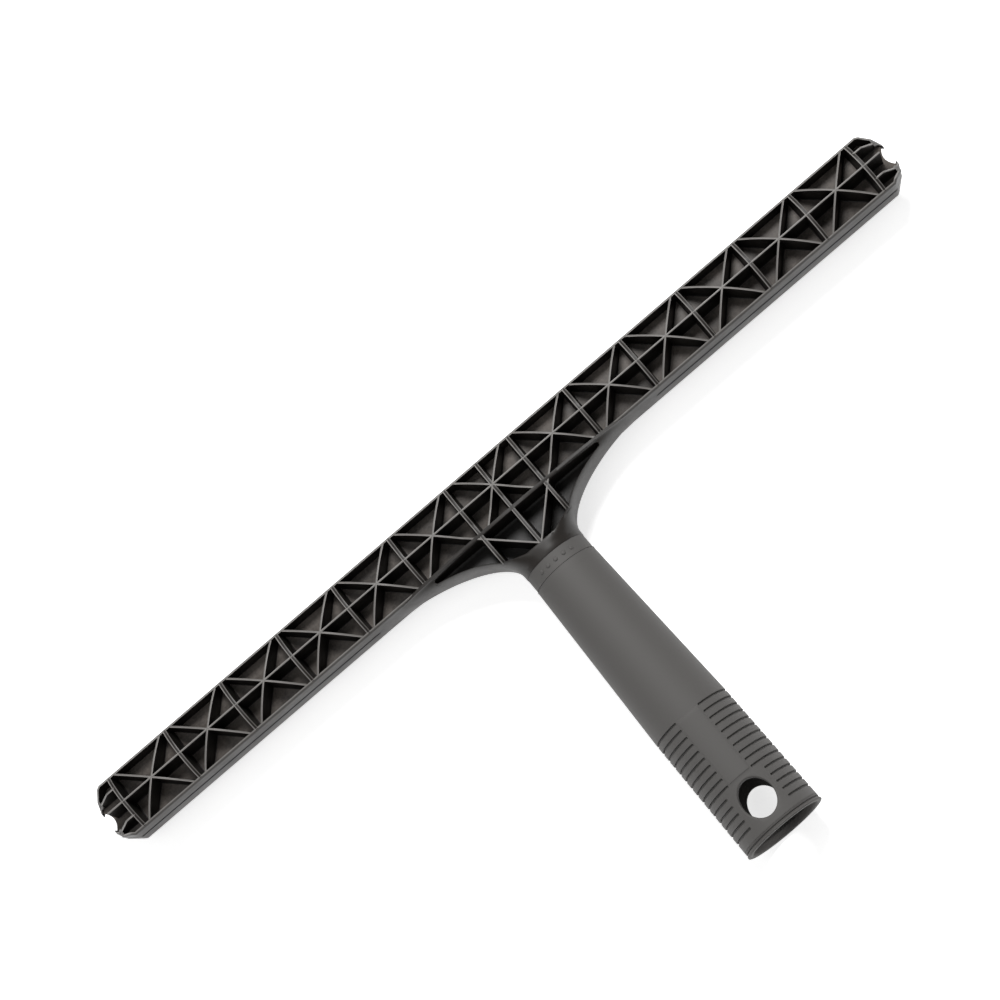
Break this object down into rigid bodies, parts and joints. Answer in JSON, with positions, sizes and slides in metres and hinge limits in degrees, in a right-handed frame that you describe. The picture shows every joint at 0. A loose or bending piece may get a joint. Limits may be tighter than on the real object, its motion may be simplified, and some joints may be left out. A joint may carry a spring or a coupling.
{
  "type": "window washer sleeve holder",
  "caption": "T-shaped plastic holder for a window-washing sleeve: ribbed, water-holding cross bar on a hollow tapered handle with side grip lines and a pole socket.",
  "frame": {"origin": "centre of the handle's mouth, on the pole socket's axis", "axes": "+X along the cross bar, +Y from the mouth up the handle to the bar, +Z out of the front face; z = 0 is the plane that front and back mirror in"},
  "size_m": [0.3518, 0.1626, 0.0315],
  "materials": {
    "head_plastic": "warm black moulded plastic, satin ribs with lighter worn crests, mottled pocket floors",
    "handle_plastic": "warm black moulded plastic with a fine matte grain",
    "collar_plastic": "warm black moulded plastic, smooth rim"
  },
  "bodies": {
    "root": {"t_bar_head": "head_plastic", "handle": "handle_plastic", "mouth_collar": "collar_plastic"}
  },
  "joints": []
}
